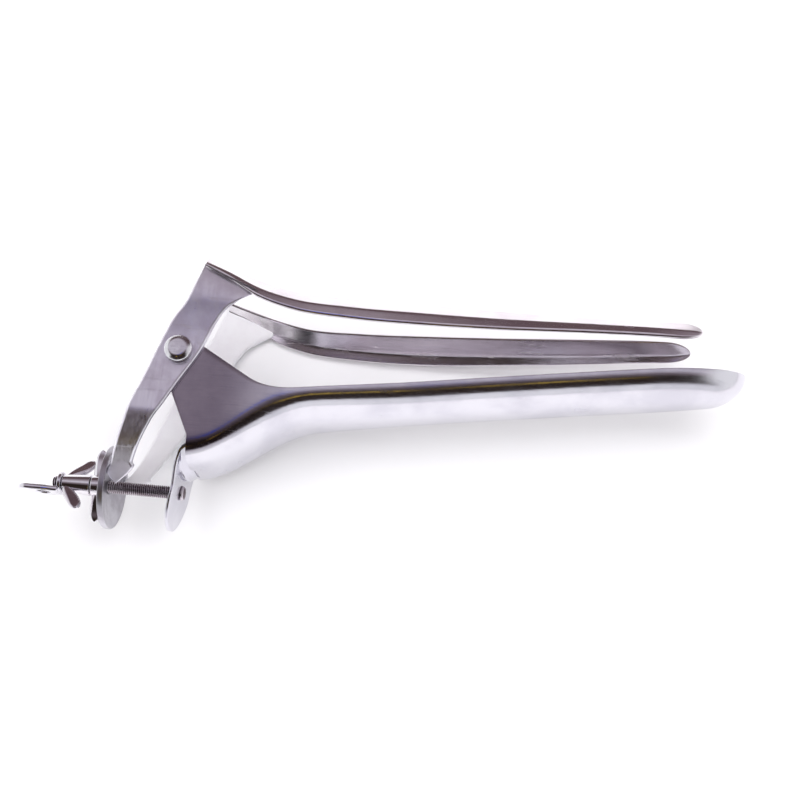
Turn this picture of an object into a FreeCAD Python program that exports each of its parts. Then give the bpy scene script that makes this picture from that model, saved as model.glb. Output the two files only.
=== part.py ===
import FreeCAD, Part
import math
import os
from FreeCAD import Vector

os.makedirs("parts", exist_ok=True)

# A three-bladed speculum lying on its left side.
# X runs along the lift screw towards the blade tips, Y from the lower blade to
# the upper blades, Z up from the left side to the right. All sizes in millimetres.

# Lower blade: one pressed sheet, a trough with two ears and a down-turned flange
lower_tip_x = 216.0
lower_root_x = -1.6
lower_wall = 1.6
lower_rim_root_y = -18.0
lower_rim_tip_y = 15.0
lower_rim_bow = 1.05
lower_half_width = 18.0
lower_depth = 10.7
lower_nose_length = 40.0
lower_toe_length = 20.0
root_depth = 25.5
root_length = 52.0
side_share = 0.62
side_tip_share = 0.15
ear_outer_z = 21.7
ear_thickness = 1.9
ear_radius = 7.6
ear_front_x = 34.5
ear_back_x = -0.9
ear_back_y = -15.5
ear_foot_x = 7.4
ear_foot_y = -32.8
flange_x = 3.0
flange_thickness = 1.3
flange_tip_radius = 14.0
flange_below_screw = 14.8
flange_bend = 3.4
flange_seat = 0.75

# Upper blades and the flat arms that carry them
arm_gap = 0.1
arm_thickness = 2.2
arm_width = 18.0
arm_bend_y = -22.0
arm_end_y = -51.2
arm_end_z = 7.6
arm_foot_x = -19.6
arm_top_flare = 2.5
upper_root_x = 6.0
upper_root_y = 38.0
upper_tip_x = 197.0
upper_tip_y = 28.4
upper_tip_round = 4.4
upper_thickness = 1.5
upper_mid_y = 28.2
upper_width = 10.2
upper_bulge = 1.7
upper_top_z = 20.6
upper_tip_z = 11.0

# Pivot rivets at the origin of X and Y
rivet_radius = 2.5
rivet_head_radius = 5.3
rivet_head_height = 3.0
rivet_head_bevel = 1.6
rivet_tail_radius = 4.2
rivet_tail_height = 1.3
running_clearance = 0.08
face_gap = 0.1

# Lift screw, the dished thrust disc on it, two wing nuts and the end tab
screw_radius = 2.5
screw_y = -50.1
screw_free_x = -46.4
screw_neck_radius = 2.0
screw_head_radius = 3.2
screw_head_height = 1.5
disc_radius = 16.0
disc_bore_clearance = 0.3
disc_thickness = 2.3
disc_dish = 2.4
disc_centre_x = -24.6
lift_nut_length = 4.2
lift_nut_radius = 4.3
lift_wing_reach = 14.0
lift_wing_width = 4.6
lift_wing_sweep = 0.5
lift_wing_turn_deg = 8.0
wing_thickness = 2.2
lock_nut_length = 11.1
lock_nut_radius = 4.1
lock_nut_nose_radius = 3.2
lock_wing_reach = 13.0
lock_wing_width = 5.0
lock_wing_sweep = 6.2
lock_wing_turn_deg = -32.0
tab_ring_radius = 4.2
tab_ring_thickness = 1.4
tab_length = 16.5
tab_width = 9.5
tab_thickness = 2.0
tab_eye_radius = 2.6
tab_eye_x = -49.8

arm_inner_z = ear_outer_z + arm_gap
arm_outer_z = arm_inner_z + arm_thickness
rivet_face_z = arm_outer_z + face_gap + rivet_head_height
x_axis = Vector(1, 0, 0)
y_axis = Vector(0, 1, 0)
z_axis = Vector(0, 0, 1)


def line(a, b):
    return Part.LineSegment(Vector(*a), Vector(*b)).toShape()


def arc(a, b, c):
    return Part.Arc(Vector(*a), Vector(*b), Vector(*c)).toShape()


def smooth(points):
    curve = Part.BSplineCurve()
    curve.interpolate([Vector(*p) for p in points])
    return curve.toShape()


def ease(t):
    """Smooth step from 0 to 1."""
    t = min(max(t, 0.0), 1.0)
    return t * t * (3 - 2 * t)


def round_end(x, length):
    """Ellipse share that closes the trough over its last length."""
    t = max(x - (lower_tip_x - length), 0.0) / (1.01 * length)
    return math.sqrt(1 - t * t)


def band(points, thickness):
    """Face between a curve in X and Y and the same curve moved to its left side."""
    moved = []
    last = len(points) - 1
    for i, (x, y) in enumerate(points):
        x0, y0 = points[max(i - 1, 0)]
        x1, y1 = points[min(i + 1, last)]
        reach = math.hypot(x1 - x0, y1 - y0)
        moved.append((x - thickness * (y1 - y0) / reach, y + thickness * (x1 - x0) / reach, 0))
    near = [(x, y, 0) for x, y in points]
    wire = Part.Wire([smooth(near), line(near[-1], moved[-1]), smooth(moved[::-1]),
                      line(moved[0], near[0])])
    return Part.Face(wire)


def mirrored(shape):
    return shape.mirror(Vector(0, 0, 0), z_axis)


def save(name, shape):
    """Stand the piece on the left rivet's flat face and write it out."""
    placed = shape.copy()
    placed.translate(Vector(0, 0, rivet_face_z))
    placed.exportStep("parts/" + name + ".step")
    box = placed.BoundBox
    print(name, "solids", len(placed.Solids), "valid", placed.isValid(),
          "volume %.0f" % placed.Volume,
          "x %.1f %.1f y %.1f %.1f z %.1f %.1f" % (box.XMin, box.XMax, box.YMin,
                                                   box.YMax, box.ZMin, box.ZMax))


def rim_height(x):
    """Rim of the trough: a straight rise with a slight bow."""
    s = x / lower_tip_x
    return lower_rim_root_y + (lower_rim_tip_y - lower_rim_root_y) * s + 4 * lower_rim_bow * s * (1 - s)


def half_width(x):
    narrow = ease((x - ear_front_x) / (1.7 * ear_front_x))
    width = ear_outer_z + (lower_half_width - ear_outer_z) * narrow
    return width * round_end(x, lower_nose_length)


def trough_depth(x):
    rise = ease((x - ear_foot_x) / (root_length - ear_foot_x))
    return (root_depth + (lower_depth - root_depth) * rise) * round_end(x, lower_toe_length)


def side_height(x):
    """Height of the straight side walls, a share of the depth that falls towards the tip."""
    start = 0.35 * lower_tip_x
    fall = max(x - start, 0.0) / (lower_tip_x - start)
    return trough_depth(x) * (side_share + (side_tip_share - side_share) * fall)


def lower_section(x, wall, lift):
    """One U-shaped slice of the trough: straight sides over a round bottom."""
    rim = rim_height(x)
    h = half_width(x) - wall
    bottom = rim - trough_depth(x) + wall
    turn = rim - side_height(x)
    top = rim + lift
    edges = [line((x, top, h), (x, turn, h)),
             arc((x, turn, h), (x, bottom, 0), (x, turn, -h)),
             line((x, turn, -h), (x, top, -h)),
             line((x, top, -h), (x, top, h))]
    return Part.Wire(edges)


def trough(wall, lift):
    """Solid of the trough, drawn in by the wall for the hollow."""
    start = lower_root_x - (0.5 * ear_foot_x if wall > 0 else 0.0)
    end = lower_tip_x - wall
    slices = 14
    wires = []
    for i in range(slices + 1):
        # slices close together at the root and at the tip
        share = 0.5 - 0.5 * math.cos(math.pi * i / slices)
        wires.append(lower_section(start + share * (end - start), wall, lift))
    return Part.makeLoft(wires, True, True)


def ear():
    """Flat plate that rises from the trough's wall to the pivot."""
    front = (ear_front_x, rim_height(ear_front_x), 0)
    foot = (ear_front_x, rim_height(ear_front_x) - 0.5 * side_height(ear_front_x), 0)
    back = (ear_back_x, ear_back_y, 0)
    low = (ear_back_x + 0.8 * (ear_foot_x - ear_back_x), ear_back_y + 0.8 * (ear_foot_y - ear_back_y), 0)
    lean = math.radians(62)
    right = (ear_radius * math.sin(lean), ear_radius * math.cos(lean), 0)
    left = (-ear_radius * math.sin(lean), -ear_radius * math.cos(lean), 0)
    over = (-ear_radius * math.cos(lean), ear_radius * math.sin(lean), 0)
    edges = [line(front, right), arc(right, over, left), line(left, back),
             line(back, low), line(low, foot), line(foot, front)]
    plate = Part.Face(Part.Wire(edges)).extrude(Vector(0, 0, ear_thickness))
    plate.translate(Vector(0, 0, ear_outer_z - ear_thickness))
    return plate


def flange_back():
    """Back face of the flange from below the screw up into the bend at the trough."""
    back = flange_x - flange_thickness / 2
    up = ear_foot_y - screw_y
    down = flange_below_screw
    # share of the bend, height over the screw
    points = [(-0.6, -1.07 * down), (-0.32, -0.59 * down), (0.0, 0.0), (0.03, 0.46 * up),
              (0.3, 0.73 * up), (0.62, 0.91 * up), (1.0, 1.04 * up)]
    return [(back + share * flange_bend, screw_y + height) for share, height in points]


def flange():
    """Rounded tongue turned down from the trough's root, with the screw's hole."""
    span = 3 * ear_outer_z
    plate = band(flange_back()[::-1], flange_thickness).extrude(Vector(0, 0, span))
    plate.translate(Vector(0, 0, -span / 2))
    end_y = screw_y - flange_below_screw
    centre_y = end_y + flange_tip_radius
    half_top = 0.85 * ear_outer_z
    behind = flange_x - 10 * flange_thickness
    side = (behind, centre_y, flange_tip_radius)
    other = (behind, centre_y, -flange_tip_radius)
    edges = [arc(side, (behind, end_y, 0), other),
             line(other, (behind, ear_foot_y, -half_top)),
             line((behind, ear_foot_y, -half_top), (behind, ear_foot_y, half_top)),
             line((behind, ear_foot_y, half_top), side)]
    outline = Part.Face(Part.Wire(edges)).extrude(Vector(20 * flange_thickness, 0, 0))
    return plate.common(outline)


def root_cut():
    """Everything behind the slanted back edge of the ears and the flange's back."""
    far = ear_back_x - 2 * ear_outer_z
    over = 2 * ear_radius
    back = flange_back()
    edge = [(far, over), (ear_back_x, over), (ear_back_x, ear_back_y), (ear_foot_x, ear_foot_y),
            back[5], back[4], back[3], back[2], (far, back[2][1])]
    face = Part.Face(Part.makePolygon([Vector(x, y, 0) for x, y in edge + edge[:1]]))
    block = face.extrude(Vector(0, 0, 4 * ear_outer_z))
    block.translate(Vector(0, 0, -2 * ear_outer_z))
    return block


def lower_blade():
    hollow = trough(lower_wall, 2 * lower_wall)
    shell = trough(0.0, 0.0).cut(root_cut()).fuse(flange()).cut(hollow)
    flat = ear()
    blade = shell.fuse([flat, mirrored(flat)])
    bore = Part.makeCylinder(rivet_radius + running_clearance, 4 * ear_outer_z,
                             Vector(0, 0, -2 * ear_outer_z), z_axis)
    reach = 4 * flange_thickness
    hole = Part.makeCylinder(screw_neck_radius + face_gap, 2 * reach,
                             Vector(flange_x - reach, screw_y, 0), x_axis)
    spot = screw_head_radius + 4 * face_gap
    left = Part.makeCylinder(spot, reach, Vector(flange_x - flange_seat - reach, screw_y, 0), x_axis)
    right = Part.makeCylinder(spot, reach, Vector(flange_x + flange_seat, screw_y, 0), x_axis)
    return blade.cut([bore, hole, left, right]).removeSplitter()


def arm_outline():
    """The arm seen from the side, cut out of flat strip."""
    w = arm_width
    d = -arm_end_y
    # across in shares of the width, along in shares of the lower length
    left = [(0.31, 0.682), (0.25, 0.56), (-0.02, 0.35), (-0.24, 0.23), (-0.47, 0.01),
            (-0.69, -0.25), (-0.85, -0.41), (-0.96, -0.56), (-1.07, -0.70), (-1.17, -0.82),
            (-1.225, -0.905), (-1.26, -0.955)]
    right = [(-0.88, -0.965), (-0.725, -0.84), (-0.57, -0.70), (-0.39, -0.56), (-0.16, -0.41),
             (0.067, -0.25), (0.455, 0.01), (0.705, 0.234), (1.04, 0.385), (1.59, 0.515)]
    left = [(u * w, v * d, 0) for u, v in left]
    right = [(u * w, v * d, 0) for u, v in right]
    foot = (arm_foot_x, arm_end_y, 0)
    edges = [smooth(left), arc(left[-1], foot, right[0]), smooth(right),
             line(right[-1], left[0])]
    return Part.Face(Part.Wire(edges))


def arm():
    """Flat strip from the blade's root past the pivot, bent in at its lower end."""
    flat = arm_outer_z
    drop = flat - arm_end_z
    start = 1.2 * ear_radius
    top = upper_root_y - start
    low = arm_end_y - arm_bend_y
    # outer face in shares of the flare and the drop; the band lies on the inner side
    flare = [(1.12, 1.0), (1.0, 0.7), (0.72, 0.43), (0.27, 0.2), (0.0, 0.04), (0.0, 0.0)]
    bend = [(0.0, 0.0), (0.0, 0.06), (0.075, 0.24), (0.22, 0.48), (0.48, 0.72), (0.83, 0.95),
            (1.1, 1.1)]
    flare = [(flat + u * arm_top_flare, start + v * top) for u, v in flare]
    bend = [(flat - u * drop, arm_bend_y + v * low) for u, v in bend]
    deep = 5 * arm_width
    upper = band(flare, -arm_thickness).extrude(Vector(0, 0, deep))
    lower = band(bend, -arm_thickness).extrude(Vector(0, 0, deep))
    middle = Part.makeBox(arm_thickness, start - arm_bend_y, deep,
                          Vector(flat - arm_thickness, arm_bend_y, 0))
    profile = upper.fuse([middle, lower])
    # the profile is drawn with Z along X, so it is turned to face along X
    profile.rotate(Vector(0, 0, 0), y_axis, -90)
    profile.translate(Vector(deep / 2, 0, 0))
    plate = arm_outline().extrude(Vector(0, 0, 2 * rivet_face_z))
    return plate.common(profile)


def blade_section(x, top, bottom, inner, outer, bulge):
    """Curved strip in a slice across X, its hollow side towards the middle plane."""
    span_y = bottom - top
    span_z = outer - inner
    length = math.hypot(span_y, span_z)
    away_y = span_z / length
    away_z = -span_y / length
    mid_y = (top + bottom) / 2
    mid_z = (inner + outer) / 2
    t = upper_thickness

    def point(y, z, off):
        return (x, y + off * away_y, z + off * away_z)

    a = point(top, inner, 0)
    b = point(mid_y, mid_z, bulge)
    c = point(bottom, outer, 0)
    d = point(bottom, outer, -t)
    e = point(mid_y, mid_z, bulge - t)
    g = point(top, inner, -t)
    return Part.Wire([arc(a, b, c), line(c, d), arc(d, e, g), line(g, a)])


def tip_outline():
    """Side view of the strip with its tip rounded off."""
    behind = upper_root_x - upper_thickness
    turn = upper_tip_x - 2 * upper_tip_round
    high = upper_tip_y + upper_tip_round
    low = upper_tip_y - upper_tip_round
    top = 2 * upper_root_y
    oval = Part.Ellipse(Vector(turn, upper_tip_y, 0), 2 * upper_tip_round, upper_tip_round)
    end = Part.ArcOfEllipse(oval, -math.pi / 2, math.pi / 2).toShape()
    edges = [line((behind, -top, 0), (behind, top, 0)), line((behind, top, 0), (turn, top, 0)),
             line((turn, top, 0), (turn, high, 0)), end, line((turn, low, 0), (turn, -top, 0)),
             line((turn, -top, 0), (behind, -top, 0))]
    return Part.Face(Part.Wire(edges)).extrude(Vector(0, 0, 2 * rivet_face_z))


def upper_strip():
    """The blade itself, from the flat root over the arm to the rounded tip."""
    reach = upper_tip_x - upper_root_x
    low = upper_mid_y - upper_width
    root_z = arm_outer_z + arm_top_flare
    fall = upper_root_y - upper_mid_y
    drop = upper_top_z - upper_tip_z
    width = upper_width
    rise = upper_tip_y + upper_tip_round - upper_mid_y
    # share of the length, top edge, bottom edge, their heights over the middle plane, bulge
    stations = [(0.0, upper_root_y, upper_root_y - 0.4 * width, root_z - 0.5, root_z, 0.1),
                (0.05, upper_mid_y + 0.62 * fall, upper_mid_y + 0.16 * fall, root_z - 1.4, root_z, 0.25),
                (0.11, upper_mid_y + 0.28 * fall, low + 0.54 * width, root_z - 2.7, root_z - 0.1, 0.4),
                (0.18, upper_mid_y, low + 0.16 * width, root_z - 3.9, root_z - 0.4, 0.6),
                (0.3, upper_mid_y - 0.3, low - 0.02 * width, upper_top_z, root_z - 0.9, 0.9),
                (0.45, upper_mid_y + 0.13 * rise, low, upper_top_z - 0.2 * drop, root_z - 1.9, 1.0),
                (0.6, upper_mid_y + 0.32 * rise, low + 0.16 * width, upper_top_z - 0.5 * drop,
                 root_z - 4.3, 1.0),
                (0.78, upper_mid_y + 0.65 * rise, low + 0.43 * width, upper_top_z - 0.86 * drop,
                 root_z - 7.2, 0.95),
                (0.92, upper_mid_y + 0.93 * rise, low + 0.6 * width, upper_tip_z, root_z - 10.2, 0.9),
                (1.01, upper_mid_y + rise, low + 0.64 * width, upper_tip_z + 0.6, root_z - 12.0, 0.5)]
    wires = []
    for share, top, bottom, inner, outer, bow in stations:
        wires.append(blade_section(upper_root_x + share * reach, top, bottom, inner, outer,
                                   bow * upper_bulge))
    return Part.makeLoft(wires, True, True).common(tip_outline())


def bored_arm(strip):
    bore = Part.makeCylinder(rivet_radius + running_clearance, 4 * arm_outer_z,
                             Vector(0, 0, 0), z_axis)
    pieces = arm().cut([strip, bore]).Solids
    return max(pieces, key=lambda piece: piece.Volume)


def revolve_about_z(points):
    face = Part.Face(Part.makePolygon([Vector(r, 0, z) for r, z in points + points[:1]]))
    return face.revolve(Vector(0, 0, 0), z_axis, 360)


def revolve_about_screw(points):
    face = Part.Face(Part.makePolygon([Vector(x, screw_y + r, 0) for x, r in points + points[:1]]))
    return face.revolve(Vector(0, screw_y, 0), x_axis, 360)


def pivot_rivet():
    """Low flat-topped head outside the arm, shank, and a clenched tail inside the ear."""
    head = arm_outer_z + face_gap
    tail = ear_outer_z - ear_thickness - face_gap
    top = head + rivet_head_height
    points = [(0, top), (rivet_head_radius - rivet_head_bevel, top),
              (rivet_head_radius, top - rivet_head_bevel), (rivet_head_radius, head),
              (rivet_radius, head), (rivet_radius, tail), (rivet_tail_radius, tail),
              (rivet_tail_radius, tail - rivet_tail_height), (0, tail - rivet_tail_height)]
    return revolve_about_z(points)


def lift_screw():
    """Threaded rod with a riveted neck through the flange."""
    shoulder = flange_x - flange_seat
    far = flange_x + flange_seat
    points = [(screw_free_x, 0), (screw_free_x, screw_radius), (shoulder, screw_radius),
              (shoulder, screw_neck_radius), (far, screw_neck_radius), (far, screw_head_radius),
              (far + screw_head_height, 0.5 * screw_head_radius), (far + screw_head_height, 0)]
    return revolve_about_screw(points)


def thrust_disc():
    """Round dished plate that pushes on the ends of both arms."""
    bore = screw_radius + disc_bore_clearance
    rim_x = disc_centre_x + disc_dish
    return revolve_about_screw([(disc_centre_x, bore), (rim_x, disc_radius),
                                (rim_x - disc_thickness, disc_radius),
                                (disc_centre_x - disc_thickness, bore)])


def wing(root_x, sweep, reach, width):
    """One wing: a flat rounded plate that stands out from the hub."""
    half = width / 2
    inner = screw_radius + 1.0
    centre = reach - half
    tip_x = root_x + sweep
    lean = math.atan2(sweep, centre - inner)
    across_x = half * math.cos(lean)
    across_y = -half * math.sin(lean)
    a = (root_x - across_x, screw_y + inner - across_y, 0)
    b = (tip_x - across_x, screw_y + centre - across_y, 0)
    c = (tip_x + half * math.sin(lean), screw_y + centre + half * math.cos(lean), 0)
    d = (tip_x + across_x, screw_y + centre + across_y, 0)
    e = (root_x + across_x, screw_y + inner + across_y, 0)
    face = Part.Face(Part.Wire([line(a, b), arc(b, c, d), line(d, e), line(e, a)]))
    plate = face.extrude(Vector(0, 0, wing_thickness))
    plate.translate(Vector(0, 0, -wing_thickness / 2))
    return plate


def winged(hub, plate, turn):
    """Hub with two opposite wings, turned about the screw, bored to run on it."""
    other = plate.copy()
    other.rotate(Vector(0, screw_y, 0), x_axis, 180)
    nut = hub.fuse([plate, other])
    nut.rotate(Vector(0, screw_y, 0), x_axis, turn)
    bore = Part.makeCylinder(screw_radius + running_clearance, -2 * screw_free_x,
                             Vector(1.5 * screw_free_x, screw_y, 0), x_axis)
    return nut.cut(bore).removeSplitter()


lift_nut_right = disc_centre_x - disc_thickness - face_gap
lift_nut_left = lift_nut_right - lift_nut_length
lock_nut_right = lift_nut_left - 3 * face_gap  # clear of the lift nut's wings, which stand out past its hub
lock_nut_left = lock_nut_right - lock_nut_length
tab_right = lock_nut_left - face_gap
tab_left = tab_right - tab_ring_thickness


def lift_nut():
    hub = revolve_about_screw([(lift_nut_left, 0), (lift_nut_left, lift_nut_radius),
                               (lift_nut_right, lift_nut_radius), (lift_nut_right, 0)])
    middle = (lift_nut_left + lift_nut_right) / 2
    blades = wing(middle, lift_wing_sweep, lift_wing_reach, lift_wing_width)
    return winged(hub, blades, lift_wing_turn_deg)


def lock_nut():
    hub = revolve_about_screw([(lock_nut_left, 0), (lock_nut_left, lock_nut_nose_radius),
                               (lock_nut_right, lock_nut_radius), (lock_nut_right, 0)])
    root = lock_nut_left + 0.4 * lock_wing_width
    blades = wing(root, lock_wing_sweep, lock_wing_reach, lock_wing_width)
    return winged(hub, blades, lock_wing_turn_deg)


def end_tab():
    """Ring fixed on the screw's free end, with a flat thumb paddle and its eye."""
    ring = revolve_about_screw([(tab_left, 0), (tab_left, tab_ring_radius),
                                (tab_right, tab_ring_radius), (tab_right, 0)])
    half = tab_width / 2
    narrow = 0.75 * half
    level = screw_y - tab_ring_radius + tab_thickness
    near = tab_left + tab_ring_thickness / 2
    far = near - tab_length + half
    paddle = Part.Face(Part.Wire([line((near, level, narrow), (far, level, half)),
                                  arc((far, level, half), (far - half, level, 0), (far, level, -half)),
                                  line((far, level, -half), (near, level, -narrow)),
                                  line((near, level, -narrow), (near, level, narrow))]))
    paddle = paddle.extrude(Vector(0, -tab_thickness, 0))
    eye = Part.makeCylinder(tab_eye_radius, 4 * tab_thickness,
                            Vector(tab_eye_x, level + tab_thickness, 0), Vector(0, -1, 0))
    screw = Part.makeCylinder(screw_radius, -2 * screw_free_x, Vector(1.5 * screw_free_x, screw_y, 0),
                              x_axis)
    return ring.fuse(paddle).cut([eye, screw]).removeSplitter()


right_blade = upper_strip()
right_arm = bored_arm(right_blade)
rivet = pivot_rivet()
save("lower_blade", lower_blade())
save("right_blade", right_blade)
save("left_blade", mirrored(right_blade))
save("right_arm", right_arm)
save("left_arm", mirrored(right_arm))
save("right_pivot_rivet", rivet)
save("left_pivot_rivet", mirrored(rivet))
save("lift_screw", lift_screw())
save("thrust_disc", thrust_disc())
save("lift_nut", lift_nut())
save("lock_nut", lock_nut())
save("end_tab", end_tab())
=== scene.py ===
import math

import bpy
import numpy as np
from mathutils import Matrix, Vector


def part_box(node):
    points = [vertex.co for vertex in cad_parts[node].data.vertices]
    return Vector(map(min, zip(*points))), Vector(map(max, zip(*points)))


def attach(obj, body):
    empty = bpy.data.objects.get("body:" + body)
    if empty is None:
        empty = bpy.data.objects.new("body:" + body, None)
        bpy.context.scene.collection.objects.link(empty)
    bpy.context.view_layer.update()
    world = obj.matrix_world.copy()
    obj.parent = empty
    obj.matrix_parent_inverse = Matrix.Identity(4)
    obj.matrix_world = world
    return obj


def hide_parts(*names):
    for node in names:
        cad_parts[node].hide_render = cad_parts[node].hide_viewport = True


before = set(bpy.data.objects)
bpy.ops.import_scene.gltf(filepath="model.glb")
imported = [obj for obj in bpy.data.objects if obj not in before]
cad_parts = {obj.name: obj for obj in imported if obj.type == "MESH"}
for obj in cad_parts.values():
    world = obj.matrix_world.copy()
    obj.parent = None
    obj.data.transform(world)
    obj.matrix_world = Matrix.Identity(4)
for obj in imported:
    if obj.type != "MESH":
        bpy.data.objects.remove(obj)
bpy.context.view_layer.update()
scene = bpy.context.scene
scene.view_settings.view_transform = "Standard"
mm = 0.001
low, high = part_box("lift_screw")
middleZ = (low[2] + high[2]) / 2 / mm  # height of the plane of symmetry
screwY = (low[1] + high[1]) / 2 / mm
print("frame loaded, middle plane at", round(middleZ, 2), "mm")

# the room that the steel reflects, as colours by the tilt away from straight up towards -Y (degrees):
# white walls and a dim ceiling, darker behind the camera
room = {
    "tilts": (-180.0, -104.0, -88.0, -60.0, -36.0, -17.0, 2.0, 20.0, 60.0, 68.0, 80.0, 180.0),
    "colors": ((0.95, 0.95, 0.97), (0.98, 0.98, 1.0), (0.13, 0.085, 0.09), (0.11, 0.075, 0.085),
               (0.36, 0.31, 0.35), (0.66, 0.62, 0.70), (0.20, 0.16, 0.18), (0.022, 0.015, 0.013),
               (0.03, 0.02, 0.018), (0.88, 0.87, 0.92), (0.95, 0.95, 0.98), (0.95, 0.95, 0.97)),
    "sideFrom": 0.60,  # share of X in the direction where the ceiling ends
    "sideTo": 0.86,
    "patchScale": 2.3,  # cloudy patches that shift the colours by up to half of patchTilt
    "patchDetail": 1.0,
    "patchTilt": 14.0,
    "spots": (
        {"x": -0.10, "halfX": 0.065, "tilt": -3.0, "halfTilt": 8.0, "color": (0.05, 0.12, 0.72)},
        {"x": -0.16, "halfX": 0.05, "tilt": 40.0, "halfTilt": 7.0, "color": (0.75, 0.50, 0.06)},
        {"x": 0.16, "halfX": 0.05, "tilt": 24.0, "halfTilt": 6.0, "color": (0.55, 0.38, 0.08)},
    ),
}


def addNode(tree, kind, **settings):
    node = tree.nodes.new("ShaderNode" + kind)
    for name, value in settings.items():
        setattr(node, name, value)
    return node


def link(tree, out, into):
    tree.links.new(out, into)


def fillRamp(node, stops, colors):
    elements = node.color_ramp.elements
    while len(elements) < len(stops):
        elements.new(0.5)
    for element, stop, color in zip(elements, stops, colors):
        element.position = stop
        element.color = (*color, 1)


# a socket takes another node's output, or a colour or a number of its own
def feed(tree, socket, value):
    if isinstance(value, bpy.types.NodeSocket):
        link(tree, value, socket)
    elif isinstance(value, tuple):
        socket.default_value = (*value, 1)
    else:
        socket.default_value = value


# inputs 0, 6 and 7 of a colour mix are its factor and its two colours
def mixColor(tree, factor, first, second, mode="MIX"):
    node = addNode(tree, "Mix", data_type="RGBA", blend_type=mode)
    for number, value in ((0, factor), (6, first), (7, second)):
        feed(tree, node.inputs[number], value)
    return node.outputs[2]


def addMath(tree, operation, first, second=0.0, third=0.0, clamp=False):
    node = addNode(tree, "Math", operation=operation, use_clamp=clamp)
    for socket, value in zip(node.inputs, (first, second, third)):
        feed(tree, socket, value)
    return node.outputs[0]


# a value mapped to 0 at the first limit and 1 at the second, and held there outside them
def addRange(tree, value, start, end, kind="SMOOTHSTEP"):
    node = addNode(tree, "MapRange", interpolation_type=kind)
    link(tree, value, node.inputs["Value"])
    node.inputs["From Min"].default_value = start
    node.inputs["From Max"].default_value = end
    return node


def addNoise(tree, vector, scale, detail):
    node = addNode(tree, "TexNoise")
    link(tree, vector, node.inputs["Vector"])
    feed(tree, node.inputs["Scale"], scale)
    node.inputs["Detail"].default_value = detail
    return node


def addMapping(tree, vector, values):
    node = addNode(tree, "Mapping")
    link(tree, vector, node.inputs["Vector"])
    for name, value in values.items():
        node.inputs[name].default_value = value
    return node.outputs[0]


# 1 near the middle value, falling straight to 0 over the outer half of the half width
def window(tree, value, middle, half):
    distance = addMath(tree, "ABSOLUTE", addMath(tree, "SUBTRACT", value, middle))
    return addMath(tree, "MULTIPLY_ADD", distance, -2.0 / half, 2.0, clamp=True)


def buildWorld(values):
    world = bpy.data.worlds.new("studioRoom")
    scene.world = world
    world.use_nodes = True
    tree = world.node_tree
    tree.nodes.clear()
    direction = addNode(tree, "TexCoord").outputs["Generated"]
    parts = addNode(tree, "SeparateXYZ")
    link(tree, direction, parts.inputs[0])
    backward = addMath(tree, "MULTIPLY", parts.outputs["Y"], -1.0)
    tilt = addMath(tree, "DEGREES", addMath(tree, "ARCTAN2", backward, parts.outputs["Z"]))
    patches = addNoise(tree, direction, values["patchScale"], values["patchDetail"])
    swing = values["patchTilt"]
    uneven = addMath(tree, "MULTIPLY_ADD", patches.outputs["Fac"], swing, -swing / 2)
    moved = addMath(tree, "ADD", tilt, uneven)
    ramp = addNode(tree, "ValToRGB")
    fillRamp(ramp, [(t + 180) / 360 for t in values["tilts"]], values["colors"])
    link(tree, addMath(tree, "MULTIPLY_ADD", moved, 1 / 360, 0.5), ramp.inputs["Fac"])
    sideShare = addMath(tree, "ABSOLUTE", parts.outputs["X"])
    sideways = addRange(tree, sideShare, values["sideFrom"], values["sideTo"])
    color = mixColor(tree, sideways.outputs["Result"], ramp.outputs["Color"], values["colors"][0])
    for spot in values["spots"]:
        mask = addMath(tree, "MULTIPLY", window(tree, parts.outputs["X"], spot["x"], spot["halfX"]),
                       window(tree, tilt, spot["tilt"], spot["halfTilt"]))
        color = mixColor(tree, mask, color, spot["color"])
    background = addNode(tree, "Background")
    link(tree, color, background.inputs["Color"])
    white = addNode(tree, "Background")
    path = addNode(tree, "LightPath")
    mix = addNode(tree, "MixShader")
    out = addNode(tree, "OutputWorld")
    link(tree, path.outputs["Is Camera Ray"], mix.inputs["Fac"])
    link(tree, background.outputs[0], mix.inputs[1])
    link(tree, white.outputs[0], mix.inputs[2])
    link(tree, mix.outputs[0], out.inputs["Surface"])


buildWorld(room)
print("room built")

# camera, from the photo: almost straight down on the side of the part
cameraView = {
    "place": (0.1125, -0.1386, 0.4748),
    "turn": (16.8255, 2.0049, 5.6931),  # degrees about X, Y and Z
    "lens": 54.0,
    "near": 0.01,
    "far": 20.0,
}
camera = bpy.data.objects.new("camera", bpy.data.cameras.new("camera"))
scene.collection.objects.link(camera)
camera.location = cameraView["place"]
camera.rotation_euler = [math.radians(a) for a in cameraView["turn"]]
camera.data.lens = cameraView["lens"]
camera.data.clip_start = cameraView["near"]
camera.data.clip_end = cameraView["far"]
scene.camera = camera

# big soft lamps, seen by the table and by dull surfaces only
lamps = [
    {"name": "overhead", "place": (0.1, 0.25, 1.2), "size": 1.6, "power": 18.5},
    {"name": "frontSoft", "place": (0.2, -1.0, 0.8), "size": 0.9, "power": 7.0},
]


def addLamp(values):
    data = bpy.data.lights.new(values["name"], "AREA")
    data.shape = "SQUARE"
    data.size = values["size"]
    data.energy = values["power"]
    lamp = bpy.data.objects.new(values["name"], data)
    scene.collection.objects.link(lamp)
    lamp.location = values["place"]
    lamp.rotation_euler = (-lamp.location).to_track_quat("-Z", "Y").to_euler()
    lamp.visible_glossy = False


for values in lamps:
    addLamp(values)

table = {"half": 3.0, "color": (0.92, 0.92, 0.93), "roughness": 0.9}


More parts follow.
